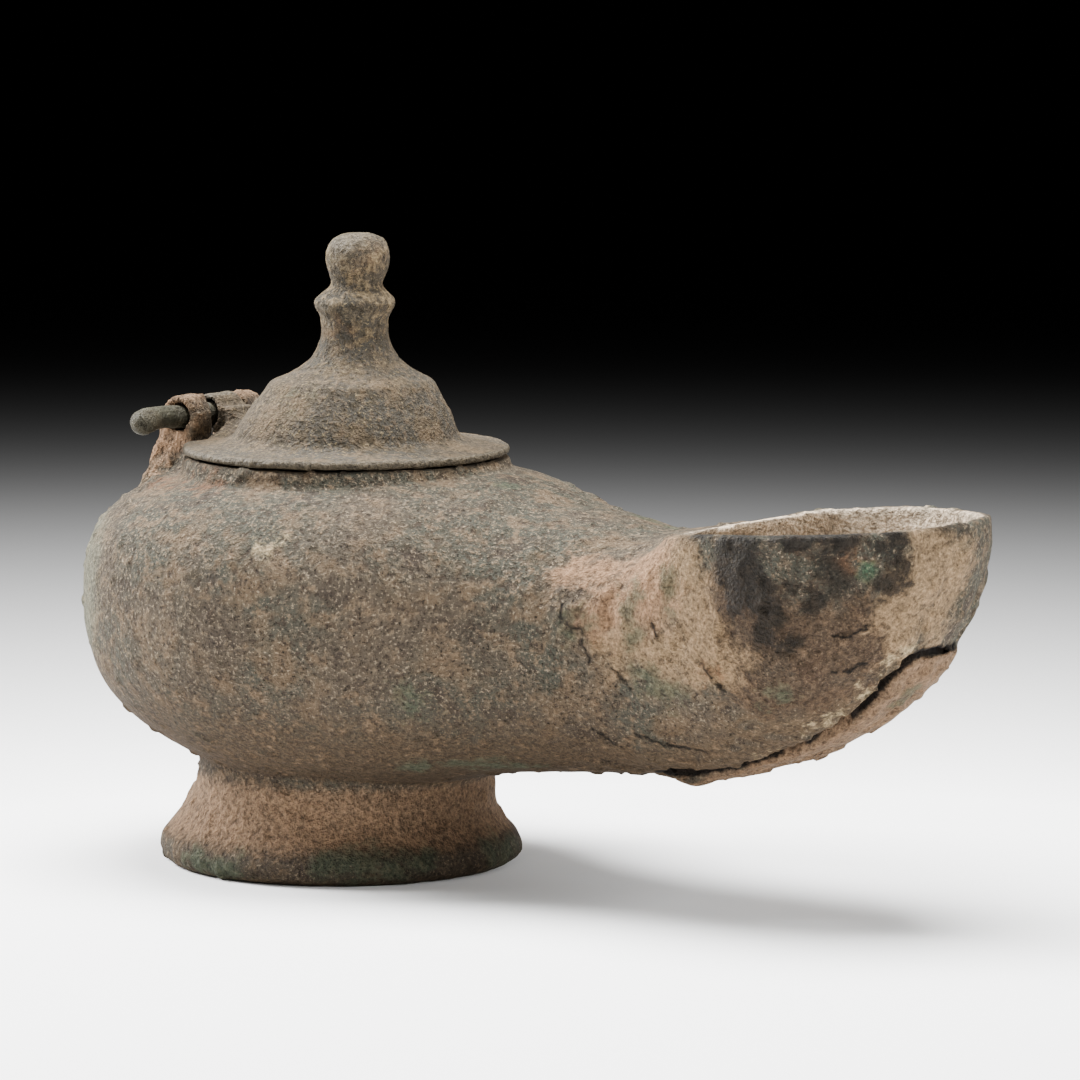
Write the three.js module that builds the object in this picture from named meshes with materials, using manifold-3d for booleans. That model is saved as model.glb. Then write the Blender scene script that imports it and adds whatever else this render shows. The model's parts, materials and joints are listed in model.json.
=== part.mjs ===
// A cast bronze oil lamp with a hinged, domed lid. Millimetres, +Z up, the nozzle points along +X.
// While it is built, x = y = 0 is the axis of the bowl and z = 0 is the surface that the foot stands on.
import * as THREE from "three";
import { mergeVertices } from "three/addons/utils/BufferGeometryUtils.js";
import { ConvexGeometry } from "three/addons/geometries/ConvexGeometry.js";
import Module from "manifold-3d";

const wasm = await Module();
wasm.setup();

// Driving dimensions: the body.
const WALL = 2.3; // of the bowl, the neck and the mouth
const BOWL_R = 41.1;
const BELLY_Z = 41; // height of the widest part of the bowl
const BOWL_UP = 21.5; // from the belly to the crown of the shoulder
const BOWL_DOWN = 27.7; // from the belly to the lowest point of the bowl
const SHOULDER_POWER = 3.1;
const UNDERSIDE_POWER = 2.2;
const NOZZLE_POWER = 2.35; // roundness of the nozzle's lower half
const NOZZLE_LENGTH = 114; // from the bowl's axis to the tip
const NOZZLE_HALF_W = 22.9; // at the widest part of the mouth
const RIM_TIP_Z = 61.6; // height of the mouth's rim at the tip
const BLEND = 9; // radius of the blend between bowl and nozzle
const NOZZLE_FADE = 25; // behind the bowl's axis the nozzle's form fades out over this length

// Driving dimensions: the torn prow.
const TEAR_W = 1.6;
const TEAR_DEPTH = 1.5;
const FLAP_PUSH = 0.45; // how far the strip beside the tear is pushed out
const FLAP_CURL_R = 2.4;
const FLAP_CURL_HANG = 1.1; // how far the curl hangs under the keel

// Driving dimensions: the foot, the collar and the hinge.
const FOOT_R = 28.3;
const FOOT_WAIST_R = 22.95;
const FOOT_RIM = 4.6; // thickness of the foot's rounded rim
const FOOT_TREAD = 3.2; // width of the flat ring that the lamp stands on
const FOOT_WALL = 3.4;
const FOOT_INTO_BOWL = 5.2; // how far the foot's ring runs up past the lowest point of the bowl
const FOOT_SET_BACK = 1.1; // the foot's tread sits this far behind the bowl's axis
const FLARE_SET_BACK = 1.0; // and the flare above its rim this much further
const COLLAR_R = 25.5;
const COLLAR_WALL = 2.4;
const COLLAR_RISE = 1.2; // above the crown of the shoulder
const PIN_BEHIND = 0.6; // pin axis behind the flange's edge
const PIN_R = 1.75;
const PIN_RISE = 5.1; // pin axis above the collar's top
const PIN_STICKS_OUT = 10.8; // beyond the near lug
const PIN_FAR_END = 2.5; // beyond the far lug
const PIN_CLEARANCE = 0.42; // between the pin and each bore, all round
const HINGE_R = 3.5; // outer radius of the near lug's ring
const FAR_LUG_R = 3.0; // the far lug is worn
const KNUCKLE_R = 3.1;
const LUG_W = 4.6;
const LUG_SPACE = 9.4; // between the two lugs
const KNUCKLE_W = 6.2;
const HINGE_CLEARANCE = 0.45; // between the lid and the lugs

// Driving dimensions: the lid.
const LID_GAP = 0.3; // between the collar and the flange
const FLANGE_OVERHANG = 0.0; // the flange ends flush with the collar
const FLANGE_EDGE = 1.2; // thickness at the flange's edge
const DOME_R = 17.3;
const DOME_WALL = 1.9;
const RAMP_SPREAD = 5; // the ramp behind the dome is this much wider than the knuckle, on each side
const LID_HEIGHT = 34.5; // from the flange's underside to the top of the knob
const FINIAL_LEAN = 1.7; // the neck stands this far forward of the lid's axis
const KNOB_LEAN = 0.6; // and the knob this much further

// Facets.
const SKIN_AROUND = 40;
const SKIN_ALONG = 34;
const CAVITY_AROUND = 28;
const CAVITY_ALONG = 24;
const LATHE_SIDES = 36;
const HINGE_SIDES = 18;

const CROWN_Z = BELLY_Z + BOWL_UP;
const COLLAR_TOP_Z = CROWN_Z + COLLAR_RISE;
const FLANGE_R = COLLAR_R + FLANGE_OVERHANG;
const PIN_X = -(FLANGE_R + PIN_BEHIND);
const PIN_Z = COLLAR_TOP_Z + PIN_RISE;
const NEAR_LUG_Y = -LUG_SPACE / 2 - LUG_W; // the near lug's outer face
const FAR_LUG_Y = LUG_SPACE / 2; // the far lug's inner face
const KNUCKLE_Y = (LUG_SPACE - KNUCKLE_W) / 2 - PIN_CLEARANCE * 0.7; // the lid sits against the far lug
const LID_Z = COLLAR_TOP_Z + LID_GAP;

const BRONZE = { color: 0x8a7b66, roughness: 0.9, metalness: 0.25 };

// A smooth curve through stations [at, value], with the slope at each station taken from its neighbours.
function through(stations) {
  const last = stations.length - 1;
  const slope = stations.map((s, i) => {
    const a = stations[Math.max(i - 1, 0)];
    const b = stations[Math.min(i + 1, last)];
    return (b[1] - a[1]) / (b[0] - a[0]);
  });
  return (at) => {
    if (at <= stations[0][0]) return stations[0][1];
    if (at >= stations[last][0]) return stations[last][1];
    let i = 0;
    while (at > stations[i + 1][0]) i++;
    const [x0, y0] = stations[i];
    const [x1, y1] = stations[i + 1];
    const h = x1 - x0;
    const t = (at - x0) / h;
    return (
      y0 * (1 + 2 * t) * (1 - t) ** 2 +
      slope[i] * h * t * (1 - t) ** 2 +
      y1 * t * t * (3 - 2 * t) +
      slope[i + 1] * h * t * t * (t - 1)
    );
  };
}

// The nozzle's sections, by their share of its length: half width, keel height and top height,
// as shares of the mouth's half width and of the tip's height. Past the neck the top runs up out of the
// way, and the rim cuts it.
const halfWidth = through([
  [0.2, 1.5], [0.3, 1.28], [0.4, 1.06], [0.5, 0.935], [0.6, 0.905], [0.7, 0.955], [0.79, 1.0],
  [0.86, 0.92], [0.93, 0.7], [0.97, 0.46], [1.0, 0.0],
]);
const keel = through([
  [0.25, 0.276], [0.395, 0.296], [0.535, 0.318], [0.605, 0.322], [0.7, 0.36], [0.805, 0.44],
  [0.884, 0.55], [0.935, 0.655], [0.962, 0.75], [0.984, 0.85], [1.0, 0.96],
]);
const top = through([
  [0.2, 0.975], [0.3, 0.963], [0.4, 0.942], [0.46, 0.923], [0.5, 0.91], [0.54, 0.909], [0.6, 0.945],
  [0.66, 1.06], [0.74, 1.24], [1.0, 1.25],
]);
const widest = through([[0.3, 0.68], [0.5, 0.7], [0.7, 0.82], [0.85, 0.9], [1.0, 0.97]]);
const deckPower = through([[0.3, 2.3], [0.5, 2.2], [0.6, 2.4], [0.68, 3.5], [0.76, 6], [1.0, 8]]);
const rim = through([
  [0.5, 1.0], [0.54, 0.93], [0.58, 0.922], [0.62, 0.932], [0.66, 0.945], [0.72, 0.958], [0.79, 0.967],
  [0.86, 0.974], [0.93, 0.979], [0.965, 0.984], [1.0, 0.992],
]);

// How far a point is outside the bowl, near enough in millimetres; inside is negative.
function outsideBowl(x, y, z) {
  const up = z - BELLY_Z;
  const n = up > 0 ? SHOULDER_POWER : UNDERSIDE_POWER;
  const h = up > 0 ? BOWL_UP : BOWL_DOWN;
  const gauge = ((Math.hypot(x, y) / BOWL_R) ** n + (Math.abs(up) / h) ** n) ** (1 / n);
  return Math.hypot(x, y, up) * (1 - 1 / Math.max(gauge, 1e-6));
}

function outsideNozzle(x, y, z) {
  const s = x / NOZZLE_LENGTH;
  if (s >= 1) return 1 + x - NOZZLE_LENGTH;
  const w = Math.max(halfWidth(s) * NOZZLE_HALF_W, 0.02);
  const mid = widest(s) * RIM_TIP_Z;
  const up = z - mid;
  const h = up > 0 ? top(s) * RIM_TIP_Z - mid : mid - keel(s) * RIM_TIP_Z;
  const n = up > 0 ? deckPower(s) : NOZZLE_POWER;
  const gauge = ((Math.abs(y) / w) ** n + (Math.abs(up) / h) ** n) ** (1 / n);
  const behind = Math.min(x, 0) ** 2 / NOZZLE_FADE;
  return Math.hypot(y, up) * (1 - 1 / Math.max(gauge, 1e-6)) + behind;
}

// The bowl and the nozzle, melted into each other.
function outside(x, y, z) {
  const a = outsideBowl(x, y, z);
  const b = outsideNozzle(x, y, z);
  const h = Math.max(BLEND - Math.abs(a - b), 0) / BLEND;
  return Math.min(a, b) - (h * h * BLEND) / 4;
}

// The same as a true distance to first order.
function distance(x, y, z) {
  const e = 0.05;
  const f = outside(x, y, z);
  const slope = Math.hypot(
    outside(x + e, y, z) - f, outside(x, y + e, z) - f, outside(x, y, z + e) - f) / e;
  return f / Math.max(slope, 0.2);
}

// The torn flap of the prow: the keel strip past the tear is pushed out a little.
function flapPush(x, y, z) {
  const s = x / NOZZLE_LENGTH;
  const fromTear = THREE.MathUtils.smoothstep(y / NOZZLE_HALF_W, -0.33, -0.2);
  const toFarSide = 1 - THREE.MathUtils.smoothstep(y / NOZZLE_HALF_W, 0.2, 0.5);
  const alongKeel = THREE.MathUtils.smoothstep(s, 0.55, 0.62) * (z < RIM_TIP_Z * 0.67 ? 1 : 0);
  return FLAP_PUSH * fromTear * toFarSide * alongKeel;
}

// A closed skin that lies a given depth under the outer surface. A sphere with its poles fore and aft is
// blown up: each vertex runs out from a spine inside the lamp until it meets the skin.
const SPINE_START = new THREE.Vector3(0, 0, BELLY_Z);
const SPINE_END = new THREE.Vector3(NOZZLE_LENGTH * 0.8, 0, RIM_TIP_Z * 0.76);
function skin(depth, around, along) {
  const ball = new THREE.SphereGeometry(1, around, along);
  ball.rotateZ(Math.PI / 2);
  const p = ball.getAttribute("position");
  const dir = new THREE.Vector3();
  const from = new THREE.Vector3();
  for (let i = 0; i < p.count; i++) {
    dir.fromBufferAttribute(p, i).normalize();
    const turn = Math.acos(THREE.MathUtils.clamp(-dir.x, -1, 1)) / Math.PI;
    from.lerpVectors(SPINE_START, SPINE_END, THREE.MathUtils.clamp((turn - 0.3) / 0.44, 0, 1));
    let near = 0;
    let far = BOWL_R + BOWL_UP;
    for (let step = 0; step < 40; step++) {
      const r = (near + far) / 2;
      const d = distance(from.x + dir.x * r, from.y + dir.y * r, from.z + dir.z * r);
      if (d < -depth) near = r;
      else far = r;
    }
    const on = from.clone().addScaledVector(dir, near);
    on.addScaledVector(dir, flapPush(on.x, on.y, on.z));
    p.setXYZ(i, on.x, on.y, on.z);
  }
  return ball;
}

function toSolid(geometry) {
  const g = geometry.clone();
  for (const extra of ["normal", "uv"]) g.deleteAttribute(extra);
  const merged = mergeVertices(g, 1e-4);
  const solid = new wasm.Manifold(
    new wasm.Mesh({
      numProp: 3,
      vertProperties: new Float32Array(merged.getAttribute("position").array),
      triVerts: new Uint32Array(merged.index.array),
    }),
  );
  return solid;
}

function toMesh(name, solid) {
  const m = solid.getMesh();
  const g = new THREE.BufferGeometry();
  g.setAttribute("position", new THREE.BufferAttribute(m.vertProperties, m.numProp));
  g.setIndex(new THREE.BufferAttribute(m.triVerts, 1));
  g.computeVertexNormals();
  const mesh = new THREE.Mesh(g, new THREE.MeshStandardMaterial(BRONZE));
  mesh.name = name;
  return mesh;
}

// A turned form about the Z axis from [radius, height] points, going up the outside.
function turned(points, sides = LATHE_SIDES) {
  const g = new THREE.LatheGeometry(points.map(([r, z]) => new THREE.Vector2(r, z)), sides);
  g.rotateX(Math.PI / 2);
  return g;
}

// A round bar along Y.
function bar(radius, y0, y1, x, z, sides = HINGE_SIDES) {
  const g = new THREE.CylinderGeometry(radius, radius, y1 - y0, sides);
  g.translate(x, (y0 + y1) / 2, z);
  return g;
}

function block(x0, x1, y0, y1, z0, z1) {
  const g = new THREE.BoxGeometry(x1 - x0, y1 - y0, z1 - z0);
  g.translate((x0 + x1) / 2, (y0 + y1) / 2, (z0 + z1) / 2);
  return g;
}

function hull(points) {
  return new ConvexGeometry(points.map((p) => new THREE.Vector3(...p)));
}

// The point of the outer skin that lies on the line from the spine's end through a point given in shares of
// the nozzle's length, half width and height.
function onProw([length, side, height]) {
  const to = new THREE.Vector3(length * NOZZLE_LENGTH, side * NOZZLE_HALF_W, height * RIM_TIP_Z);
  const from = new THREE.Vector3(Math.min(to.x, SPINE_END.x), 0, SPINE_END.z);
  const dir = to.sub(from).normalize();
  let near = 0;
  let far = BOWL_R;
  for (let step = 0; step < 40; step++) {
    const r = (near + far) / 2;
    if (distance(from.x + dir.x * r, from.y + dir.y * r, from.z + dir.z * r) < 0) near = r;
    else far = r;
  }
  return from.addScaledVector(dir, near);
}

// The tear: a groove along the near side of the keel that turns across the prow.
function tearGroove() {
  const path = [
    [0.585, -0.34, 0.34], [0.66, -0.33, 0.357], [0.73, -0.33, 0.4], [0.79, -0.33, 0.445],
    [0.845, -0.3, 0.5], [0.89, -0.3, 0.575], [0.922, -0.28, 0.64], [0.938, -0.14, 0.672],
    [0.94, 0.05, 0.67], [0.925, 0.34, 0.655],
  ].map(onProw);
  const half = TEAR_W / 2;
  const wedge = new THREE.Shape([
    new THREE.Vector2(-TEAR_DEPTH, 0),
    new THREE.Vector2(TEAR_DEPTH, -half),
    new THREE.Vector2(TEAR_DEPTH, half),
  ]);
  const curve = new THREE.CatmullRomCurve3(path);
  return new THREE.ExtrudeGeometry(wedge, { steps: 15, extrudePath: curve, bevelEnabled: false });
}

// The curled end of the torn flap under the nozzle.
function flapCurl() {
  const g = new THREE.SphereGeometry(FLAP_CURL_R, 12, 8);
  g.scale(1.5, 1, 1);
  const share = 0.605;
  g.translate(
    NOZZLE_LENGTH * share, -NOZZLE_HALF_W * 0.24, keel(share) * RIM_TIP_Z + FLAP_CURL_R - FLAP_CURL_HANG);
  return g;
}

// The foot: a flared ring, hollow below, whose tread sits a little behind the bowl's axis.
function footRing() {
  const topZ = BELLY_Z - BOWL_DOWN + FOOT_INTO_BOWL;
  const rimZ = FOOT_RIM / 2;
  const outer = [
    [FOOT_R - FOOT_RIM * 0.42, 0], [FOOT_R - FOOT_RIM * 0.17, FOOT_RIM * 0.12],
    [FOOT_R - FOOT_RIM * 0.02, rimZ * 0.66], [FOOT_R, rimZ * 1.15], [FOOT_R - FOOT_RIM * 0.06, rimZ * 1.7],
  ];
  const flare = new THREE.CubicBezierCurve(
    new THREE.Vector2(FOOT_R - FOOT_RIM * 0.14, FOOT_RIM), new THREE.Vector2(FOOT_WAIST_R + 2.2, 7.2),
    new THREE.Vector2(FOOT_WAIST_R + 0.1, 9.6), new THREE.Vector2(FOOT_WAIST_R, topZ));
  const sole = FOOT_R - FOOT_RIM * 0.42 - FOOT_TREAD;
  const inside = FOOT_WAIST_R - FOOT_WALL;
  const points = [
    ...outer, ...flare.getPoints(5).map((v) => [v.x, v.y]),
    [inside, topZ], [inside + 0.2, 9], [sole - 1.2, 2.2], [sole, 0], outer[0],
  ];
  const ring = turned(points);
  const p = ring.getAttribute("position");
  for (let i = 0; i < p.count; i++) {
    const share = p.getZ(i) / topZ;
    const flared = Math.sin(Math.PI * THREE.MathUtils.clamp((share - 0.1) / 0.55, 0, 1));
    p.setX(i, p.getX(i) - FOOT_SET_BACK * (1 - share) - FLARE_SET_BACK * flared);
  }
  return ring;
}

function collarRing() {
  const baseZ = CROWN_Z - 5;
  const inside = COLLAR_R - COLLAR_WALL;
  return turned([
    [inside, baseZ], [COLLAR_R + 2, baseZ], [COLLAR_R + 1.6, CROWN_Z - 2.4], [COLLAR_R + 0.4, CROWN_Z - 1.5],
    [COLLAR_R, COLLAR_TOP_Z - 0.8], [COLLAR_R - 0.5, COLLAR_TOP_Z], [inside, COLLAR_TOP_Z], [inside, baseZ],
  ]);
}

// One lug: a ring on a stem that rises from the shoulder. The stem is a little wider than the ring behind.
function lug(y0, ringR) {
  const y1 = y0 + LUG_W;
  const front = PIN_X + HINGE_R - 0.25;
  const stem = block(PIN_X - HINGE_R - 1, front, y0, y1, CROWN_Z - 6, PIN_Z - HINGE_R * 0.6);
  const cheek = block(PIN_X - ringR + 0.05, PIN_X + ringR - 0.3, y0, y1, PIN_Z - HINGE_R * 0.7, PIN_Z);
  return toSolid(bar(ringR, y0, y1, PIN_X, PIN_Z)).add(toSolid(stem)).add(toSolid(cheek));
}

// All that lies over the rim of the mouth, level from side to side.
function rimCutter() {
  const edge = [];
  for (let share = 0.5; share <= 1.06; share += 0.03) {
    edge.push(new THREE.Vector2(share * NOZZLE_LENGTH, rim(share) * RIM_TIP_Z));
  }
  const clear = RIM_TIP_Z * 1.6;
  const shape = new THREE.Shape([
    ...edge, new THREE.Vector2(NOZZLE_LENGTH * 1.06, clear), new THREE.Vector2(NOZZLE_LENGTH * 0.5, clear),
  ]);
  const g = new THREE.ExtrudeGeometry(shape, { depth: BOWL_R * 2, bevelEnabled: false });
  g.rotateX(Math.PI / 2);
  g.translate(0, BOWL_R, 0);
  return g;
}

function lampBody() {
  const outer = toSolid(skin(0, SKIN_AROUND, SKIN_ALONG))
    .add(toSolid(flapCurl()))
    .add(toSolid(footRing()))
    .add(toSolid(collarRing()))
    .add(lug(NEAR_LUG_Y, HINGE_R))
    .add(lug(FAR_LUG_Y, FAR_LUG_R));
  const holeR = COLLAR_R - COLLAR_WALL;
  const fillHole = turned([
    [0, BELLY_Z], [holeR, BELLY_Z + 8], [holeR, COLLAR_TOP_Z + 1], [0, COLLAR_TOP_Z + 1],
  ]);
  const bore = bar(PIN_R + PIN_CLEARANCE, NEAR_LUG_Y - 1, FAR_LUG_Y + LUG_W + 1, PIN_X, PIN_Z);
  const solid = outer
    .subtract(toSolid(skin(WALL, CAVITY_AROUND, CAVITY_ALONG)))
    .subtract(toSolid(fillHole))
    .subtract(toSolid(rimCutter()))
    .subtract(toSolid(tearGroove()))
    .subtract(toSolid(bore));
  return toMesh("lamp_body", solid);
}

// The lid's own profile, [radius, height above the flange's underside], up the outside: the flange's edge,
// the dome, the waisted neck with its ring, and the knob.
const lidProfile = [
  [FLANGE_R - 0.35, 0], [FLANGE_R, 0.3], [FLANGE_R, FLANGE_EDGE - 0.2], [FLANGE_R - 0.5, FLANGE_EDGE + 0.1],
  [DOME_R + 1.0, FLANGE_EDGE + 0.8], [DOME_R, FLANGE_EDGE + 1.4], [DOME_R - 1.2, 6.0],
  [DOME_R - 3.0, 8.8], [DOME_R - 4.4, 10.7], [DOME_R - 6.4, 12.6], [DOME_R - 9.7, 14.5],
  [5.8, 16.6], [5.1, 18.6], [5.25, 21.2], [6.2, 23.2], [6.2, 24.2],
  [4.8, LID_HEIGHT - 8.8], [3.85, LID_HEIGHT - 8.0], [4.7, LID_HEIGHT - 5.7], [5.05, LID_HEIGHT - 4.0],
  [4.75, LID_HEIGHT - 2.2], [3.4, LID_HEIGHT - 0.5], [1.8, LID_HEIGHT], [0, LID_HEIGHT],
];

function lid() {
  const hollowR = DOME_R - DOME_WALL;
  const under = [
    [0, 12.4], [4.5, 12.0], [hollowR - 6.3, 10.9], [hollowR - 3.1, 8.0], [hollowR - 0.9, 4.6],
    [hollowR, 2.0], [hollowR + 0.6, 0],
  ];
  const form = turned([...under, ...lidProfile]);
  const p = form.getAttribute("position");
  for (let i = 0; i < p.count; i++) {
    const z = p.getZ(i);
    const neckLean = FINIAL_LEAN * THREE.MathUtils.smoothstep(z, 1.5, 16);
    const knobLean = KNOB_LEAN * THREE.MathUtils.smoothstep(z, 23, 29);
    p.setXYZ(i, p.getX(i) + neckLean + knobLean, p.getY(i), z + LID_Z);
  }
  const lugFront = PIN_X + HINGE_R + HINGE_CLEARANCE;
  const lugReach = LUG_SPACE / 2 + LUG_W + HINGE_CLEARANCE;
  const y0 = KNUCKLE_Y - KNUCKLE_W / 2;
  const y1 = KNUCKLE_Y + KNUCKLE_W / 2;
  const flangeTop = LID_Z + FLANGE_EDGE;
  const notch = block(-FLANGE_R - 2, lugFront, -lugReach, lugReach, LID_Z - 1, flangeTop + 3);
  // The ramp rises from the back of the dome to the knuckle's height, and spreads onto the flange.
  const low = LID_Z + FLANGE_EDGE / 3;
  const front = -DOME_R + 2;
  const both = (x, spread, z) => [[x, y0 - spread, z], [x, y1 + spread, z]];
  const ramp = hull([
    ...both(front, 2, low), ...both(front, 2, flangeTop + 1),
    ...both(lugFront, RAMP_SPREAD, low), ...both(lugFront, RAMP_SPREAD - 0.5, flangeTop + 0.3),
    ...both(lugFront, 0, PIN_Z + 0.6),
  ]);
  const tab = hull([
    ...both(lugFront + 1, 0, low), ...both(lugFront + 1, 0, PIN_Z + 0.2),
    ...both(PIN_X + 1, 0, PIN_Z - KNUCKLE_R + 0.5), ...both(PIN_X + 1, 0, PIN_Z + KNUCKLE_R - 0.5),
  ]);
  const knuckle = bar(KNUCKLE_R, y0, y1, PIN_X, PIN_Z);
  const bore = bar(PIN_R + PIN_CLEARANCE, y0 - 1, y1 + 1, PIN_X, PIN_Z);
  const solid = toSolid(form)
    .subtract(toSolid(notch))
    .add(toSolid(ramp))
    .add(toSolid(tab))
    .add(toSolid(knuckle))
    .subtract(toSolid(bore));
  return toMesh("lid", solid);
}

// The pin: a bar with a slight bow and rounded ends, longer on the near side.
function hingePin() {
  const farEnd = FAR_LUG_Y + LUG_W + PIN_FAR_END;
  const nearEnd = NEAR_LUG_Y - PIN_STICKS_OUT;
  const g = new THREE.CapsuleGeometry(PIN_R, farEnd - nearEnd - 2 * PIN_R, 5, HINGE_SIDES - 4, 10);
  g.translate(0, (farEnd + nearEnd) / 2, 0);
  const p = g.getAttribute("position");
  for (let i = 0; i < p.count; i++) {
    const out = THREE.MathUtils.clamp((NEAR_LUG_Y - p.getY(i)) / PIN_STICKS_OUT, 0, 1);
    const swell = 1 + 0.16 * THREE.MathUtils.smoothstep(out, 0.45, 0.85);
    const bow = 0.5 * Math.sin(out * Math.PI * 0.9) - 0.7 * out * out;
    p.setXYZ(i, p.getX(i) * swell + PIN_X, p.getY(i), p.getZ(i) * swell + PIN_Z + bow);
  }
  return toMesh("hinge_pin", toSolid(g));
}

const lamp = new THREE.Group();
lamp.add(lampBody(), lid(), hingePin());

// The part's origin is under the middle of its bounding box.
const box = new THREE.Box3().setFromObject(lamp);
const centre = box.getCenter(new THREE.Vector3());
const root = new THREE.Group();
lamp.position.set(-centre.x, -centre.y, -box.min.z);
root.add(lamp);

export default root;
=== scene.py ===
# %% [markdown]
# A cast bronze oil lamp that lay in the ground for a very long time. Under an earthy crust it is one thin
# casting: a round bowl on a flared foot, with a long open nozzle. A domed lid turns on a loose pin behind it.
# The frame holds the real sizes and moves the lid. This script makes the looks: the weathered surfaces, the
# torn nozzle, and the crust, in the same places and at the same sizes.

# %% The frame
import json
import math

import bpy
import numpy as np
import openvdb
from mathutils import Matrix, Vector

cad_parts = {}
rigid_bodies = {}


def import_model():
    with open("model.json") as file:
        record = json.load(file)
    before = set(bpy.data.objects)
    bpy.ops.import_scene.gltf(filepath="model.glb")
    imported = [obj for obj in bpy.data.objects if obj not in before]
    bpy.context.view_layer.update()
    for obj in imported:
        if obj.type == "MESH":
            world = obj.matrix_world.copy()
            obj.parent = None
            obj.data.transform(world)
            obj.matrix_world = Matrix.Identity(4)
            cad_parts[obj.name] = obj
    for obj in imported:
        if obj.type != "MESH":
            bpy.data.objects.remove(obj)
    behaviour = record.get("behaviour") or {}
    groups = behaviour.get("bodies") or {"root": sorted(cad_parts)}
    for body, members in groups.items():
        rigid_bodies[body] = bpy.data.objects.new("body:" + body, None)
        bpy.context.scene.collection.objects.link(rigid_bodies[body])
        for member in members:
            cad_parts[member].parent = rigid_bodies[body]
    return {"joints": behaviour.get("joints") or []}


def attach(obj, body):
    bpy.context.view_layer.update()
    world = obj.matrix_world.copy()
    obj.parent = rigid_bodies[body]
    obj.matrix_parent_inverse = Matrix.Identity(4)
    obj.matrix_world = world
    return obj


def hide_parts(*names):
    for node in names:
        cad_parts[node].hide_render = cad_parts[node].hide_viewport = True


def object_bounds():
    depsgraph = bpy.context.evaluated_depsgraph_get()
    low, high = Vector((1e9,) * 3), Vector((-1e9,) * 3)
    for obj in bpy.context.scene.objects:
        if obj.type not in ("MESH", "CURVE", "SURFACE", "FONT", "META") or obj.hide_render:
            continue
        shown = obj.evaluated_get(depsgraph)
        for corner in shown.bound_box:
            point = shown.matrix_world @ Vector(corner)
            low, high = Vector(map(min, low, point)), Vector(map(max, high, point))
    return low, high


for leftover in list(bpy.data.objects):
    bpy.data.objects.remove(leftover)
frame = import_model()
cad_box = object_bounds()

# %% [markdown]
# Every size below is in millimetres, counted from the axis of the bowl, because a maker would measure the
# lamp from there. The frame puts its origin under the middle of the whole lamp. The hinge is known in both,
# so it gives the step from one to the other.

# %% Sizes of the lamp
MM = 0.001
COLLAR_R = 25.5
PIN_BEHIND = 0.6
PIN_X = -(COLLAR_R + PIN_BEHIND)
PIN_Z = frame["joints"][0]["pos_m"][2] / MM
TO_ROW = np.array([frame["joints"][0]["pos_m"][0] / MM - PIN_X, 0.0, 0.0])

WALL = 2.3
BOWL_R = 41.1
BELLY_Z = 41.0
BOWL_UP = 21.5
BOWL_DOWN = 27.7
CROWN_Z = BELLY_Z + BOWL_UP
NOZZLE_LENGTH = 114.0
NOZZLE_HALF_W = 22.9
RIM_TIP_Z = 61.6
BLEND = 9.0
FOOT_R = 28.3
FOOT_WAIST_R = 22.95
FOOT_RIM = 4.6
COLLAR_WALL = 2.4
COLLAR_TOP_Z = CROWN_Z + 1.2
PIN_R = 1.75
BORE_R = PIN_R + 0.42
LUG_W = 4.6
LUG_SPACE = 9.4
LID_Z = COLLAR_TOP_Z + 0.3
print("bowl axis stands at", np.round(TO_ROW, 2), "mm in the row frame")


# %% [markdown]
# The bowl and the nozzle are described by how far any point in space is outside of them. Such a distance can
# be melted into another, cut and hollowed without a seam, as clay can, which suits a casting whose joints
# have all softened. The bowl is a squashed ball with fuller shoulders. The nozzle is a row of rounded
# sections, and its stations are shares of its own length, half width and height.

# %% A smooth curve through stations
def through(stations):
    at, value = np.array(stations, dtype=float).T
    before = np.r_[0, np.arange(len(at) - 1)]
    after = np.r_[np.arange(1, len(at)), len(at) - 1]
    slope = (value[after] - value[before]) / (at[after] - at[before])

    def curve(x):
        x = np.clip(x, at[0], at[-1])
        i = np.clip(np.searchsorted(at, x, side="right") - 1, 0, len(at) - 2)
        h = at[i + 1] - at[i]
        t = (x - at[i]) / h
        start = value[i] * (1 + 2 * t) * (1 - t) ** 2 + slope[i] * h * t * (1 - t) ** 2
        return start + value[i + 1] * t * t * (3 - 2 * t) + slope[i + 1] * h * t * t * (t - 1)

    return curve


# %% The stations of the nozzle
half_width = through([
    (0.2, 1.5), (0.3, 1.28), (0.4, 1.06), (0.5, 0.935), (0.6, 0.905), (0.7, 0.955), (0.79, 1.0),
    (0.86, 0.92), (0.93, 0.7), (0.97, 0.46), (1.0, 0.0)])
keel = through([
    (0.25, 0.276), (0.395, 0.296), (0.535, 0.318), (0.605, 0.322), (0.7, 0.36), (0.805, 0.44),
    (0.884, 0.55), (0.935, 0.655), (0.962, 0.75), (0.984, 0.85), (1.0, 0.96)])
top = through([
    (0.2, 0.975), (0.3, 0.963), (0.4, 0.942), (0.46, 0.923), (0.5, 0.91), (0.54, 0.909), (0.6, 0.945),
    (0.66, 1.06), (0.74, 1.24), (1.0, 1.25)])
widest = through([(0.3, 0.68), (0.5, 0.7), (0.7, 0.82), (0.85, 0.9), (1.0, 0.97)])
deck_power = through([(0.3, 2.3), (0.5, 2.2), (0.6, 2.4), (0.68, 3.5), (0.76, 6), (1.0, 8)])
rim = through([
    (0.5, 1.0), (0.54, 0.93), (0.58, 0.922), (0.62, 0.932), (0.66, 0.945), (0.72, 0.958), (0.79, 0.967),
    (0.86, 0.974), (0.93, 0.979), (0.965, 0.984), (1.0, 0.992)])
print("mouth from", round(0.56 * NOZZLE_LENGTH), "to", NOZZLE_LENGTH, "mm")


# %% Distances of the bowl and of the nozzle
def smoothstep(value, low, high):
    t = np.clip((value - low) / (high - low), 0, 1)
    return t * t * (3 - 2 * t)


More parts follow.
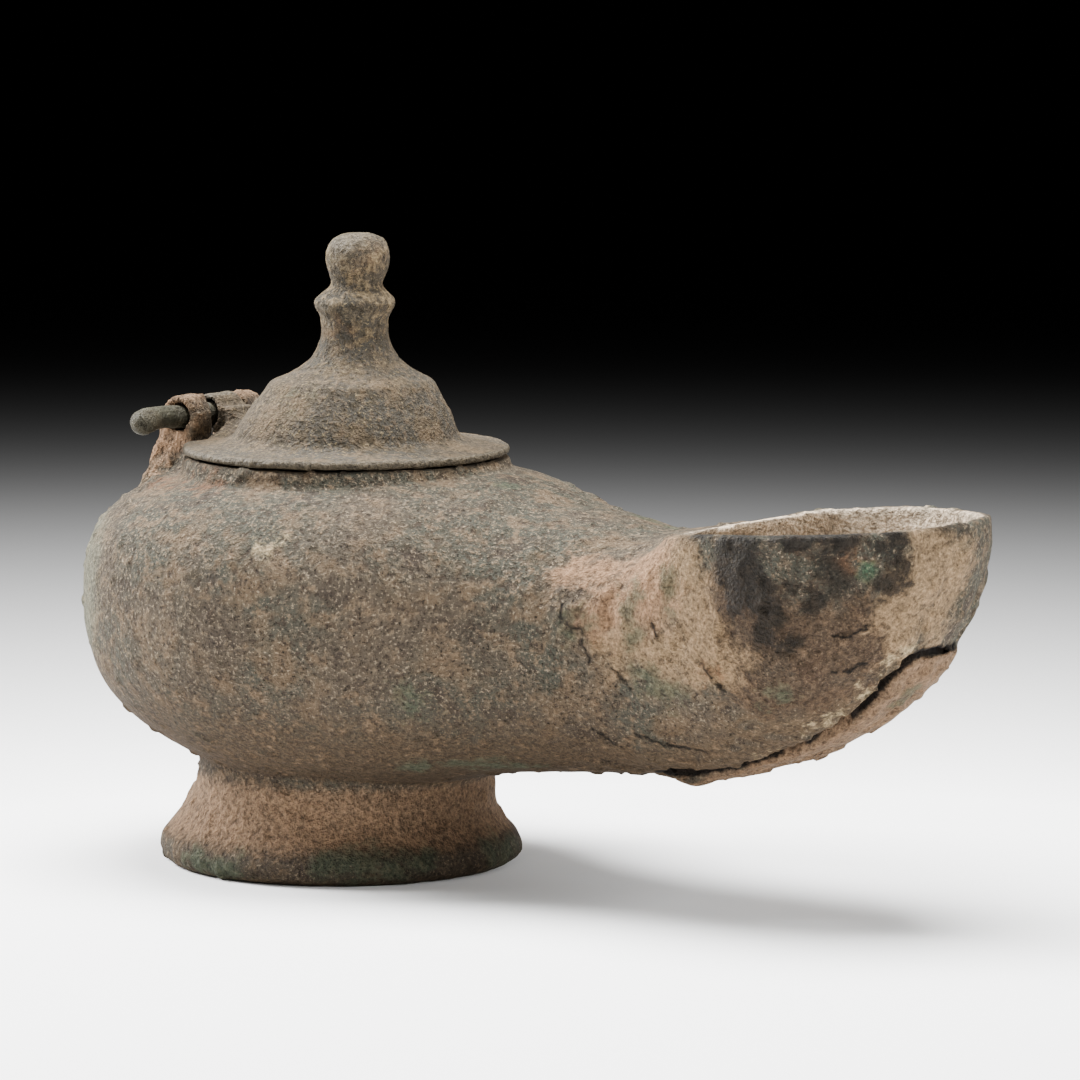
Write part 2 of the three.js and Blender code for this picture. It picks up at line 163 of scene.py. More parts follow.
def melt(a, b, radius):
    """The union of two distances, with a fillet of about this radius."""
    h = np.maximum(radius - np.abs(a - b), 0) / radius
    return np.minimum(a, b) - h * h * radius / 4


def cut(a, b, radius):
    """The first form without the second, with a worn edge."""
    return -melt(-a, b, radius)


def outside_bowl(x, y, z):
    up = z - BELLY_Z
    power = np.where(up > 0, 3.1, 2.2)
    height = np.where(up > 0, BOWL_UP, BOWL_DOWN)
    gauge = ((np.hypot(x, y) / BOWL_R) ** power + (np.abs(up) / height) ** power) ** (1 / power)
    return np.sqrt(x * x + y * y + up * up) * (1 - 1 / np.maximum(gauge, 1e-6))


def outside_nozzle(x, y, z):
    share = x / NOZZLE_LENGTH
    width = np.maximum(half_width(share) * NOZZLE_HALF_W, 0.02)
    middle = widest(share) * RIM_TIP_Z
    up = z - middle
    height = np.where(up > 0, top(share) * RIM_TIP_Z - middle, middle - keel(share) * RIM_TIP_Z)
    power = np.where(up > 0, deck_power(share), 2.35)
    gauge = ((np.abs(y) / width) ** power + (np.abs(up) / height) ** power) ** (1 / power)
    behind = np.minimum(x, 0) ** 2 / 25
    inside = np.hypot(y, up) * (1 - 1 / np.maximum(gauge, 1e-6)) + behind
    return np.where(share >= 1, 1 + x - NOZZLE_LENGTH, inside)


# %% [markdown]
# A turned form, such as the foot or the collar, has a profile of radius and height. Its distance is the
# distance to that closed outline, and the sign says whether a point is inside of it.

# %% Distance of a turned form
def outside_outline(points, r, z):
    points = np.array(points, dtype=float)
    nearest = np.full(np.broadcast(r, z).shape, 1e9)
    inside = np.zeros(nearest.shape, dtype=bool)
    for (r0, z0), (r1, z1) in zip(points, np.roll(points, -1, axis=0)):
        dr, dz = r1 - r0, z1 - z0
        along = np.clip(((r - r0) * dr + (z - z0) * dz) / (dr * dr + dz * dz), 0, 1)
        nearest = np.minimum(nearest, (r - r0 - along * dr) ** 2 + (z - z0 - along * dz) ** 2)
        crosses = (z0 > z) != (z1 > z)
        if dz != 0:
            inside ^= crosses & (r < r0 + (z - z0) * dr / dz)
    return np.where(inside, -1, 1) * np.sqrt(nearest)


def bezier(p0, p1, p2, p3, count):
    t = np.linspace(0, 1, count)[:, None]
    p0, p1, p2, p3 = map(np.array, (p0, p1, p2, p3))
    return (1 - t) ** 3 * p0 + 3 * (1 - t) ** 2 * t * p1 + 3 * (1 - t) * t * t * p2 + t ** 3 * p3


FOOT_TOP_Z = BELLY_Z - BOWL_DOWN + 5.2
FOOT_INSIDE = FOOT_WAIST_R - 3.4
FOOT_SOLE = FOOT_R - FOOT_RIM * 0.42 - 3.2
foot_outline = [
    (FOOT_R - FOOT_RIM * 0.42, 0), (FOOT_R - FOOT_RIM * 0.17, FOOT_RIM * 0.12),
    (FOOT_R - FOOT_RIM * 0.02, FOOT_RIM * 0.33), (FOOT_R, FOOT_RIM * 0.58),
    (FOOT_R - FOOT_RIM * 0.06, FOOT_RIM * 0.85),
    *bezier((FOOT_R - FOOT_RIM * 0.14, FOOT_RIM), (FOOT_WAIST_R + 2.2, 7.2), (FOOT_WAIST_R + 0.1, 9.6),
            (FOOT_WAIST_R, FOOT_TOP_Z), 9),
    (FOOT_INSIDE, FOOT_TOP_Z), (FOOT_INSIDE + 0.2, 9), (FOOT_SOLE - 1.2, 2.2), (FOOT_SOLE, 0)]
collar_outline = [
    (COLLAR_R - COLLAR_WALL, CROWN_Z - 5), (COLLAR_R + 1.5, CROWN_Z - 5), (COLLAR_R + 0.9, CROWN_Z - 2.4),
    (COLLAR_R + 0.3, CROWN_Z - 1.2), (COLLAR_R, COLLAR_TOP_Z - 0.6), (COLLAR_R - 0.4, COLLAR_TOP_Z),
    (COLLAR_R - COLLAR_WALL, COLLAR_TOP_Z)]
print("outlines:", len(foot_outline), "points of foot,", len(collar_outline), "of collar")


# %% [markdown]
# The prow is torn: a crack runs along the near side of the keel and turns across the front, and the strip
# below it stands out a little, with its back end rolled into a curl. The crack follows a line that was
# measured on the lamp, and it is widest where the strip has sprung furthest.

# %% The tear
tear_line = np.array([
    (64.5, -7.6, 20.2), (69.1, -7.4, 20.7), (79.3, -7.5, 23.2), (86.5, -7.4, 25.6), (92.8, -6.9, 28.6),
    (98.8, -6.6, 33.0), (103.5, -6.9, 37.6), (106.3, -5.3, 40.6), (107.2, -3.2, 41.4), (107.2, 0.7, 41.3),
    (105.4, 7.8, 40.5), (101.5, 12.5, 38.6)])
tear_radius = np.array([0.35, 0.75, 0.6, 0.8, 1.0, 0.95, 0.75, 0.6, 0.5, 0.5, 0.45, 0.2])


def distance_to_line(points, line, radius=None):
    """How far points are from a line of short stretches, less the radius that it has there."""
    best = np.full(len(points), 1e9)
    for i in range(len(line) - 1):
        step = line[i + 1] - line[i]
        along = np.clip((points - line[i]) @ step / (step @ step), 0, 1)
        gap = np.linalg.norm(points - line[i] - along[:, None] * step, axis=1)
        if radius is not None:
            gap = gap - (radius[i] + along * (radius[i + 1] - radius[i]))
        best = np.minimum(best, gap)
    return best


def flap(x, y, z):
    """1 on the strip of the keel that the tear has freed, 0 elsewhere."""
    beside = np.interp(x, tear_line[:9, 0], tear_line[:9, 1])
    low = smoothstep(41.2 - z, 0, 0.8) * (x < NOZZLE_LENGTH - 4)
    return smoothstep(y - beside, 0, 0.9) * (1 - smoothstep(y, 8, 14)) * low * smoothstep(x, 63, 70)


# %% [markdown]
# The body is worked out on a grid of small cubes, and OpenVDB, which is part of Blender, finds the surface
# between them. A cube of about half a millimetre keeps the rim, the lugs and the tear.

# %% The form of the body on a grid
CUBE = 0.6
low_corner = np.array([-BOWL_R - 2, -BOWL_R - 2, -2.0])
counts = (np.array([NOZZLE_LENGTH + 4, BOWL_R + 2, PIN_Z + 6]) - low_corner) / CUBE
axes = [low_corner[k] + CUBE * np.arange(int(counts[k])) for k in range(3)]
gx, gy, gz = (a.astype(np.float32) for a in np.meshgrid(*axes, indexing="ij", sparse=True))

raw = melt(outside_bowl(gx, gy, gz), outside_nozzle(gx, gy, gz), BLEND).astype(np.float32)
slope = np.sqrt(sum(g * g for g in np.gradient(raw, CUBE)))
slope = np.where(raw < -8, 1, np.maximum(slope, 0.2))  # the middle line has no slope of its own
skin = (raw / slope).astype(np.float32)
form = skin - 0.75 * flap(gx, gy, gz)
print("grid:", raw.shape, "cubes of", CUBE, "mm")


# %% Foot, collar and lugs melted on
def part_of_grid(x0, x1, y0, y1, z0, z1):
    ranges = [(x0, x1), (y0, y1), (z0, z1)]
    return tuple(slice(*np.searchsorted(axes[k], ranges[k])) for k in range(3))


def region(where):
    return gx[where[0], :, :], gy[:, where[1], :], gz[:, :, where[2]]


def box_distance(x, y, z, low, high):
    q = [np.maximum(lo - v, v - hi) for v, lo, hi in zip((x, y, z), low, high)]
    outer = np.sqrt(sum(np.maximum(v, 0) ** 2 for v in q))
    return outer + np.minimum(np.maximum(np.maximum(q[0], q[1]), q[2]), 0)


def round_bar(x, y, z, radius, y0, y1):
    return np.maximum(np.hypot(x - PIN_X, z - PIN_Z) - radius, np.maximum(y0 - y, y - y1))


where = part_of_grid(-33, 33, -33, 33, -2, FOOT_TOP_Z + 3)
x, y, z = region(where)
share = np.clip(z / FOOT_TOP_Z, 0, 1)
set_back = 1.1 * (1 - share) + 1.0 * np.sin(np.pi * np.clip((share - 0.1) / 0.55, 0, 1))
foot = outside_outline(foot_outline, np.hypot(x + set_back, y), z)
form[where] = melt(form[where], foot, 1.6)

where = part_of_grid(-30, 30, -30, 30, CROWN_Z - 8, COLLAR_TOP_Z + 2)
x, y, z = region(where)
form[where] = melt(form[where], outside_outline(collar_outline, np.hypot(x, y), z), 0.8)

where = part_of_grid(-36, -19, -13, 13, CROWN_Z - 9, PIN_Z + 6)
x, y, z = region(where)
for y0, ring_r, foot_spread in ((-LUG_SPACE / 2 - LUG_W, 3.5, 1.6), (LUG_SPACE / 2, 3.0, 0.6)):
    y1 = y0 + LUG_W
    ring = round_bar(x, y, z, ring_r, y0, y1)
    spread = foot_spread * smoothstep(PIN_Z - 2 - z, 0, 8)
    stem = box_distance(x, y, z, (PIN_X - 4.0 - spread, y0 - spread, CROWN_Z - 7),
                        (PIN_X + 3.0, y1, PIN_Z - 1.2))
    form[where] = melt(form[where], melt(ring, stem, 1.2), 2.2)
print("foot, collar and two lugs are on")

# %% Hollows cut out
radius = np.hypot(gx, gy)
hollow = skin + WALL
filling = np.maximum(radius - (COLLAR_R - COLLAR_WALL), np.maximum(BELLY_Z - gz, gz - COLLAR_TOP_Z - 5))
form = cut(form, melt(hollow, filling, 0.8), 0.5)
over_rim = np.where(gx / NOZZLE_LENGTH < 0.5, 99, rim(gx / NOZZLE_LENGTH) * RIM_TIP_Z - gz)
form = cut(form, over_rim + 0 * form, 0.5)
where = part_of_grid(-36, -19, -13, 13, CROWN_Z - 2, PIN_Z + 6)
x, y, z = region(where)
form[where] = cut(form[where], np.hypot(x - PIN_X, z - PIN_Z) - BORE_R + 0 * y, 0.4)
print("wall of", WALL, "mm left round the hollow")

# %% The tear and the curl
where = part_of_grid(58, 112, -14, 18, 14, 50)
x, y, z = region(where)
shape = form[where].shape
points = np.stack([np.broadcast_to(v, shape).ravel() for v in (x, y, z)], axis=1)
inward = np.array([-0.45, 0.35, 0.85])
crack = np.minimum(
    distance_to_line(points, tear_line, tear_radius),
    distance_to_line(points, tear_line + inward, tear_radius * 0.9)).reshape(shape)
curl_at = np.array([0.605 * NOZZLE_LENGTH, -0.24 * NOZZLE_HALF_W, keel(0.605) * RIM_TIP_Z + 1.3])
curl = np.sqrt(((x - curl_at[0]) / 1.6) ** 2 + (y - curl_at[1]) ** 2 + (z - curl_at[2]) ** 2) - 2.35
form[where] = cut(melt(form[where], curl, 0.8), crack, 0.3)
print("tear of", round(float(np.linalg.norm(np.diff(tear_line, axis=0), axis=1).sum())), "mm")


# %% From the grid to a mesh
def mesh_object(name, points, faces):
    """A new object whose mesh has these points, given in the lamp's millimetres."""
    mesh = bpy.data.meshes.new(name)
    mesh.from_pydata(((points + TO_ROW) * MM).tolist(), [], faces.tolist())
    mesh.update()
    mesh.shade_smooth()
    made = bpy.data.objects.new(name, mesh)
    bpy.context.scene.collection.objects.link(made)
    return made


def corners(made):
    """The mesh's points, in the lamp's millimetres."""
    flat = np.empty(len(made.data.vertices) * 3)
    made.data.vertices.foreach_get("co", flat)
    return flat.reshape(-1, 3) / MM - TO_ROW


def normals(made):
    flat = np.empty(len(made.data.vertices) * 3)
    made.data.vertices.foreach_get("normal", flat)
    return flat.reshape(-1, 3)


def move_to(made, points):
    made.data.vertices.foreach_set("co", ((points + TO_ROW) * MM).ravel())
    made.data.update()


def surface_of(name, form, low, cube):
    """The mesh of the surface where the distances on a grid are nought."""
    volume = openvdb.FloatGrid()
    volume.copyFromArray(form.astype(np.float32))
    points, quads = volume.convertToQuads(isovalue=0.0)
    return mesh_object(name, low + points * cube, quads)


body = surface_of("lamp_skin", form, low_corner, CUBE)
print("body:", len(body.data.vertices), "points,", 2 * len(body.data.polygons), "triangles")


# %% [markdown]
# The lid is a turned form, so Geometry Nodes can make it by one rule: a sheet of points is rolled up round
# the axis, and each row takes its radius and height from a drawn profile. The knob and its neck lean forward
# a little, as on the casting, so the rule ends with a shift that grows with height.

# %% One helper for all node trees
def add(tree, kind, inputs=None, **settings):
    """A new node with its settings. An input is a value, or the output of another node to link."""
    node = tree.nodes.new(kind)
    for name, value in settings.items():
        setattr(node, name, value)
    for key, value in (inputs or {}).items():
        if isinstance(value, bpy.types.NodeSocket):
            tree.links.new(value, node.inputs[key])
        else:
            node.inputs[key].default_value = value
    return node


def geometry_tree(name, sizes):
    """A Geometry Nodes tree with a mesh or curve going in and out, and named inputs for its sizes."""
    tree = bpy.data.node_groups.new(name, "GeometryNodeTree")
    tree.interface.new_socket("Geometry", in_out="INPUT", socket_type="NodeSocketGeometry")
    tree.interface.new_socket("Geometry", in_out="OUTPUT", socket_type="NodeSocketGeometry")
    for label, value in sizes.items():
        kind = "NodeSocketInt" if isinstance(value, int) else "NodeSocketFloat"
        tree.interface.new_socket(label, in_out="INPUT", socket_type=kind)
    return tree


def run_tree(made, tree, sizes):
    """Puts the tree on an object with these sizes, and keeps only the plain mesh that it makes."""
    modifier = made.modifiers.new(tree.name, "NODES")
    modifier.node_group = tree
    for item in tree.interface.items_tree:
        if item.item_type == "SOCKET" and item.in_out == "INPUT" and item.name in sizes:
            modifier[item.identifier] = sizes[item.name]
    return plain(made)


def plain(made):
    """The object's evaluated mesh, with no modifier left. A curve gives way to a mesh object."""
    evaluated = made.evaluated_get(bpy.context.evaluated_depsgraph_get())
    mesh = bpy.data.meshes.new_from_object(evaluated)
    if made.type == "MESH":
        made.modifiers.clear()
        made.data = mesh
        mesh.name = made.name
        return made
    name = made.name
    bpy.data.objects.remove(made)
    solid = bpy.data.objects.new(name, mesh)
    bpy.context.scene.collection.objects.link(solid)
    return solid


# %% Three kinds of old bronze, whose looks follow further down
# cast bronze under soil that has turned hard: matt and gritty, tan to grey, with no shine of metal. Its
# colour also holds painted shade low down and in the tear, and painted light in the mouth and on the bowl's
# left
body_crust = bpy.data.materials.new("body earth crust on bronze with painted light and shade")
# the same under a thinner crust: greyer and finer, and dark where the edge has rubbed bare
lid_crust = bpy.data.materials.new("lid thin crust on bronze")
# a bronze bar with hardly any crust: dark, with a dull gloss and a trace of green
pin_crust = bpy.data.materials.new("pin dark bronze")
print("three materials are ready to be worked out")

# %% The profile of the lid
FLANGE_EDGE = 1.3
DOME_R = 17.3
HOLLOW_R = DOME_R - 1.9
LID_HEIGHT = 34.5
LEAN = {"Neck lean": 1.7 * MM, "Knob lean": 0.6 * MM}
lid_profile = [
    (0, 12.4), (4.5, 12.0), (HOLLOW_R - 6.3, 10.9), (HOLLOW_R - 3.1, 8.0), (HOLLOW_R - 0.9, 4.6),
    (HOLLOW_R, 2.0),
    (HOLLOW_R + 0.6, 0), (COLLAR_R - 0.4, 0), (COLLAR_R, 0.35), (COLLAR_R, FLANGE_EDGE - 0.3),
    (COLLAR_R - 0.4, FLANGE_EDGE), (COLLAR_R - 2.5, FLANGE_EDGE + 0.15), (DOME_R + 2.2, FLANGE_EDGE + 0.55),
    (DOME_R + 0.7, FLANGE_EDGE + 1.1), (DOME_R + 0.1, FLANGE_EDGE + 1.9), (DOME_R - 0.5, 4.6),
    (DOME_R - 1.5, 6.6), (DOME_R - 2.8, 8.5), (DOME_R - 4.1, 10.5), (DOME_R - 4.5, 11.2),
    (DOME_R - 5.3, 11.7),
    (DOME_R - 6.9, 12.4), (DOME_R - 8.7, 13.5), (DOME_R - 10.4, 14.9), (5.95, 16.4), (5.3, 18.2),
    (5.1, 19.9), (5.3, 21.4), (5.9, 22.5),
    (6.25, 23.1), (6.35, 23.7), (6.1, 24.3), (5.2, 25.1), (4.3, 25.8), (3.85, 26.5), (4.2, 27.5),
    (4.75, 28.8),
    (5.05, 30.3), (5.0, 31.5), (4.6, 32.7), (3.9, 33.6), (2.6, 34.3), (1.2, LID_HEIGHT), (0, LID_HEIGHT)]


def drawn_curve(name, points):
    """A polyline as a curve object, from points in millimetres."""
    data = bpy.data.curves.new(name, "CURVE")
    data.dimensions = "3D"
    spline = data.splines.new("POLY")
    spline.points.add(len(points) - 1)
    for made, (px, py, pz) in zip(spline.points, points):
        made.co = (px * MM, py * MM, pz * MM, 1)
    made = bpy.data.objects.new(name, data)
    bpy.context.scene.collection.objects.link(made)
    return made


# %% The rule that turns it
turning = geometry_tree("turned_lid", {"Sides": 96, "Rows": 260, "Neck lean": 0.0, "Knob lean": 0.0})
given = add(turning, "NodeGroupInput").outputs
sides = add(turning, "ShaderNodeMath", {0: given["Sides"], 1: 1.0}, operation="ADD").outputs[0]
sheet = add(turning, "GeometryNodeMeshGrid", {"Size X": 1.0, "Size Y": 1.0, "Vertices X": sides,
                                              "Vertices Y": given["Rows"]})
flat_place = add(turning, "GeometryNodeInputPosition").outputs[0]
place = add(turning, "ShaderNodeSeparateXYZ", {0: flat_place}).outputs
row = add(turning, "ShaderNodeMath", {0: place["Y"], 1: 0.5}, operation="ADD").outputs[0]
turn = add(turning, "ShaderNodeMath", {0: place["X"], 1: 2 * math.pi}, operation="MULTIPLY").outputs[0]
on_profile = add(turning, "GeometryNodeSampleCurve", {"Curves": given["Geometry"], "Factor": row})
rolled = add(turning, "ShaderNodeVectorRotate", {"Vector": on_profile.outputs["Position"], "Angle": turn},
             rotation_type="Z_AXIS").outputs[0]
height = add(turning, "ShaderNodeSeparateXYZ", {0: rolled}).outputs["Z"]
leans = []
for label, low, high in (("Neck lean", 1.5, 16), ("Knob lean", 23, 29)):
    leans.append(add(turning, "ShaderNodeMapRange", {
        "Value": height, "From Min": low * MM, "From Max": high * MM, "To Min": 0.0, "To Max": given[label]},
        interpolation_type="SMOOTHSTEP").outputs[0])
lean = add(turning, "ShaderNodeMath", {0: leans[0], 1: leans[1]}, operation="ADD").outputs[0]
shift = add(turning, "ShaderNodeCombineXYZ", {"X": lean}).outputs[0]
moved = add(turning, "GeometryNodeSetPosition", {"Geometry": sheet.outputs["Mesh"], "Position": rolled,
                                                 "Offset": shift})
closed = add(turning, "GeometryNodeMergeByDistance", {"Geometry": moved.outputs[0], "Distance": 0.00002})
real = add(turning, "GeometryNodeRealizeInstances", {"Geometry": closed.outputs[0]})
clad = add(turning, "GeometryNodeSetMaterial", {"Geometry": real.outputs[0], "Material": lid_crust})
add(turning, "NodeGroupOutput", {0: clad.outputs[0]})

turned = run_tree(drawn_curve("turned_lid", [(r, 0, z) for r, z in lid_profile]), turning,
                  {"Sides": 96, "Rows": 260, **LEAN})
print("turned lid:", len(turned.data.polygons), "faces")

# %% [markdown]
# The lid's tab can't be turned. OpenVDB reads the turned mesh back into distances, and there the ramp and the
# knuckle are melted onto it, the notch for the lugs is cut, and the pin's bore is drilled. The pieces then
# share one skin, as one casting does.

# %% The lid as distances
LID_CUBE = 0.45


def turned_distances(made, low, cube, counts):
    """Distances to a closed mesh on a grid. Far from it they stop at ten cubes."""
    triangles = []
    made.data.calc_loop_triangles()
    for face in made.data.loop_triangles:
        triangles.append(tuple(face.vertices))
    points = np.array([v.co for v in made.data.vertices]) / MM
    volume = openvdb.FloatGrid.createLevelSetFromPolygons(
        points=((points - low) / cube).astype(np.float32), triangles=np.array(triangles, dtype=np.uint32),
        halfWidth=10)
    values = np.empty(counts, dtype=np.float32)
    volume.copyToArray(values)
    return values * cube


lid_low = np.array([-COLLAR_R - 6.0, -COLLAR_R - 2.0, -2.0])
lid_high = np.array([COLLAR_R + 2, COLLAR_R + 2, LID_HEIGHT + 2])
lid_counts = tuple(int(n) for n in (lid_high - lid_low) / LID_CUBE)
lid_form = turned_distances(turned, lid_low, LID_CUBE, lid_counts)
bpy.data.objects.remove(turned)
print("lid distances from", round(float(lid_form.min()), 1), "to", round(float(lid_form.max()), 1), "mm")

# %% Notch, ramp, knuckle and bore
KNUCKLE_W = 6.2
KNUCKLE_R = 3.1
KNUCKLE_Y = (LUG_SPACE - KNUCKLE_W) / 2 - 0.3
LUG_FRONT = PIN_X + 3.5 + 0.45
LUG_REACH = LUG_SPACE / 2 + LUG_W + 0.45
x, y, z = (lid_low[k] + LID_CUBE * np.arange(lid_counts[k]) for k in range(3))
x, y, z = x[:, None, None], y[None, :, None], z[None, None, :] + LID_Z

notch = box_distance(x, y, z, (-40, -LUG_REACH, LID_Z - 5), (LUG_FRONT, LUG_REACH, PIN_Z + 10))
lid_form = cut(lid_form, notch, 0.3)
rise = np.clip((z - LID_Z) / (PIN_Z - LID_Z), 0, 1)
half = 5.0 * (1 - smoothstep(rise, 0, 0.95)) * (1 - smoothstep(x, LUG_FRONT, -DOME_R + 4) * 0.5)
half = half + KNUCKLE_W / 2
slope_x, slope_z = -DOME_R + 2.2 - LUG_FRONT, PIN_Z + 0.9 - (LID_Z + FLANGE_EDGE + 1.0)
over_slope = ((z - PIN_Z - 0.9) * slope_x + (x - LUG_FRONT) * slope_z) / math.hypot(slope_x, slope_z)
ramp = np.maximum.reduce(np.broadcast_arrays(
    over_slope, np.abs(y - KNUCKLE_Y) - half, LUG_FRONT - x, x + DOME_R - 3, LID_Z + 0.35 - z))
lid_form = melt(lid_form, ramp, 1.6)
low_z = LID_Z + 0.5
tab = box_distance(x, np.abs(y - KNUCKLE_Y), z, (PIN_X + 1, -1, low_z),
                   (LUG_FRONT + 1, KNUCKLE_W / 2, PIN_Z + 1.2))
under_tab = (PIN_Z - KNUCKLE_R + 0.4) + (low_z - PIN_Z + KNUCKLE_R - 0.4) * np.clip((x - PIN_X) / 5, 0, 1) - z
tab = np.maximum(tab, under_tab)
knuckle = round_bar(x, y, z, KNUCKLE_R, KNUCKLE_Y - KNUCKLE_W / 2, KNUCKLE_Y + KNUCKLE_W / 2)
lid_form = melt(lid_form, melt(tab, knuckle, 0.6), 0.6)
lid_form = cut(lid_form, np.hypot(x - PIN_X, z - PIN_Z) - BORE_R + 0 * y, 0.3)
lid = surface_of("lid_skin", lid_form, lid_low + np.array([0, 0, LID_Z]), LID_CUBE)
print("lid:", 2 * len(lid.data.polygons), "triangles")

# %% [markdown]
# The pin is a bar along a path with a slight bow. Geometry Nodes sweep a circle along it, and its radius
# swells near the free end and closes to nothing at both ends.

# %% The pin
FAR_END = LUG_SPACE / 2 + LUG_W + 2.5
NEAR_END = -LUG_SPACE / 2 - LUG_W - 10.8
pin_path = []
for step in np.linspace(0, 1, 24):
    py = FAR_END + step * (NEAR_END - FAR_END)
    out = np.clip((-LUG_SPACE / 2 - LUG_W - py) / 10.8, 0, 1)
    pin_path.append((PIN_X + TO_ROW[0], py, PIN_Z + 0.5 * math.sin(out * math.pi * 0.9) - 0.7 * out * out))

sweeping = geometry_tree("pin_bar", {"Radius": 0.001, "Swell": 0.1, "Sides": 24})
given = add(sweeping, "NodeGroupInput").outputs
fine = add(sweeping, "GeometryNodeResampleCurve", {"Curve": given["Geometry"], "Count": 120})
along = add(sweeping, "GeometryNodeSplineParameter").outputs
from_start = add(sweeping, "ShaderNodeMapRange", {"Value": along["Factor"], "From Max": 0.07}).outputs[0]
from_end = add(sweeping, "ShaderNodeMapRange", {
    "Value": along["Factor"], "From Min": 1.0, "From Max": 0.93}).outputs[0]
near_end = add(sweeping, "ShaderNodeMath", {0: from_start, 1: from_end}, operation="MINIMUM").outputs[0]
gap = add(sweeping, "ShaderNodeMath", {0: 1.0, 1: near_end}, operation="SUBTRACT").outputs[0]
square = add(sweeping, "ShaderNodeMath", {0: gap, 1: 2.0}, operation="POWER").outputs[0]
rest = add(sweeping, "ShaderNodeMath", {0: 1.001, 1: square}, operation="SUBTRACT").outputs[0]
round_end = add(sweeping, "ShaderNodeMath", {0: rest}, operation="SQRT").outputs[0]
swollen = add(sweeping, "ShaderNodeMapRange", {"Value": along["Factor"], "From Min": 0.8, "From Max": 0.93,
                                               "To Min": 1.0}, interpolation_type="SMOOTHSTEP")
sweeping.links.new(add(sweeping, "ShaderNodeMath", {0: given["Swell"], 1: 1.0}, operation="ADD").outputs[0],
                   swollen.inputs["To Max"])
girth = add(sweeping, "ShaderNodeMath", {
    0: round_end, 1: swollen.outputs[0]}, operation="MULTIPLY").outputs[0]
thick = add(sweeping, "ShaderNodeMath", {0: girth, 1: given["Radius"]}, operation="MULTIPLY").outputs[0]
circle = add(sweeping, "GeometryNodeCurvePrimitiveCircle", {"Resolution": given["Sides"], "Radius": 1.0})
swept = add(sweeping, "GeometryNodeCurveToMesh", {
    "Curve": fine.outputs[0], "Profile Curve": circle.outputs["Curve"], "Scale": thick, "Fill Caps": True})
real = add(sweeping, "GeometryNodeRealizeInstances", {"Geometry": swept.outputs[0]})
clad = add(sweeping, "GeometryNodeSetMaterial", {"Geometry": real.outputs[0], "Material": pin_crust})
add(sweeping, "NodeGroupOutput", {0: clad.outputs[0]})
pin = run_tree(drawn_curve("pin_skin", pin_path), sweeping,
               {"Radius": PIN_R * MM, "Swell": 0.16, "Sides": 24})
pin.data.shade_smooth()
print("pin:", len(pin.data.polygons), "faces")


# %% [markdown]
# Ground burial leaves relief at many scales: slow waves from corrosion, warts of swollen crust, hollows where
# flakes fell off, and grit as fine as sand. All of it comes from one smooth random field, laid over itself at
# several wavelengths, and each point of a mesh moves in against its normal by the sum.

# %% A smooth random field
def wander(points, wavelength, seed):
    """Random heights between about -1 and 1, which change over this many millimetres."""
    rng = np.random.default_rng(seed)
    table = rng.permutation(256)
    slopes = rng.normal(size=(256, 3))
    slopes /= np.linalg.norm(slopes, axis=1)[:, None]
    at = points / wavelength + rng.random(3) * 50
    cell = np.floor(at).astype(int)
    inside = at - cell
    fade = inside ** 3 * (inside * (inside * 6 - 15) + 10)
    total = np.zeros(len(points))
    for corner in np.ndindex(2, 2, 2):
        index = table[(cell[:, 0] + corner[0]) & 255]
        index = table[(index + cell[:, 1] + corner[1]) & 255]
        index = table[(index + cell[:, 2] + corner[2]) & 255]
        weight = np.prod(np.where(corner, fade, 1 - fade), axis=1)
        total += weight * np.sum(slopes[index] * (inside - np.array(corner)), axis=1)
    return total * 1.7


def near_line(points, ends, radius):
    """1 on a line between two points, 0 at this radius from it, and below 0 further out."""
    return 1 - distance_to_line(points, np.array(ends, dtype=float)) / radius


def grid_values(grid, points, low, cube):
    """The grid's values at points, from the nearest cube."""
    index = np.rint((points - low) / cube).astype(int)
    index = np.clip(index, 0, np.array(grid.shape) - 1)
    return grid[index[:, 0], index[:, 1], index[:, 2]]


# %% Relief of the body
def weather_body(made):
    """Moves each point in by a depth, or out where the depth is below nought. Returns the depths."""
    points = corners(made)
    x, y, z = points.T
    outer = smoothstep(grid_values(skin, points, low_corner, CUBE), -1.6, -0.6)
    foot_or_lug = (z < BELLY_Z - BOWL_DOWN) | (z > CROWN_Z)
    outer = np.maximum(outer, foot_or_lug)
    rough = 0.45 + 0.55 * smoothstep(x, 35, 70)
    depth = 0.16 * wander(points, 19, 1) + 0.10 * wander(points, 8, 2)
    depth += rough * (0.10 * wander(points, 3.4, 3) + 0.09 * wander(points, 1.7, 4))
    plate_field = wander(points, 9, 5) + 0.5 * wander(points, 3.2, 6)
    on_nozzle = smoothstep(x, 40, 62) * (0.35 + 0.65 * smoothstep(58 - z, 0, 14))
    depth += 0.42 * (smoothstep(plate_field, 0.05, 0.12) - 0.5) * on_nozzle
    lost_flakes = smoothstep(wander(points, 5.5, 7), 0.32, 0.4)
    depth += 0.22 * lost_flakes * (0.25 + 0.75 * on_nozzle)
    warts = smoothstep(wander(points, 2.6, 8), 0.48, 0.7)
    depth -= 0.35 * warts
    front = smoothstep(x, 96, 108) * smoothstep(60 - z, 0, 6)
    depth += 0.35 * front * wander(points, 4.5, 9)
    lug_base = near_line(points, [(-24, -24, 62), (-28, -12, 61)], 9)
    depth += 0.5 * smoothstep(lug_base, 0, 1) * wander(points, 2.2, 10)
    move_to(made, points - normals(made) * (depth * (0.25 + 0.75 * outer))[:, None])
    return depth


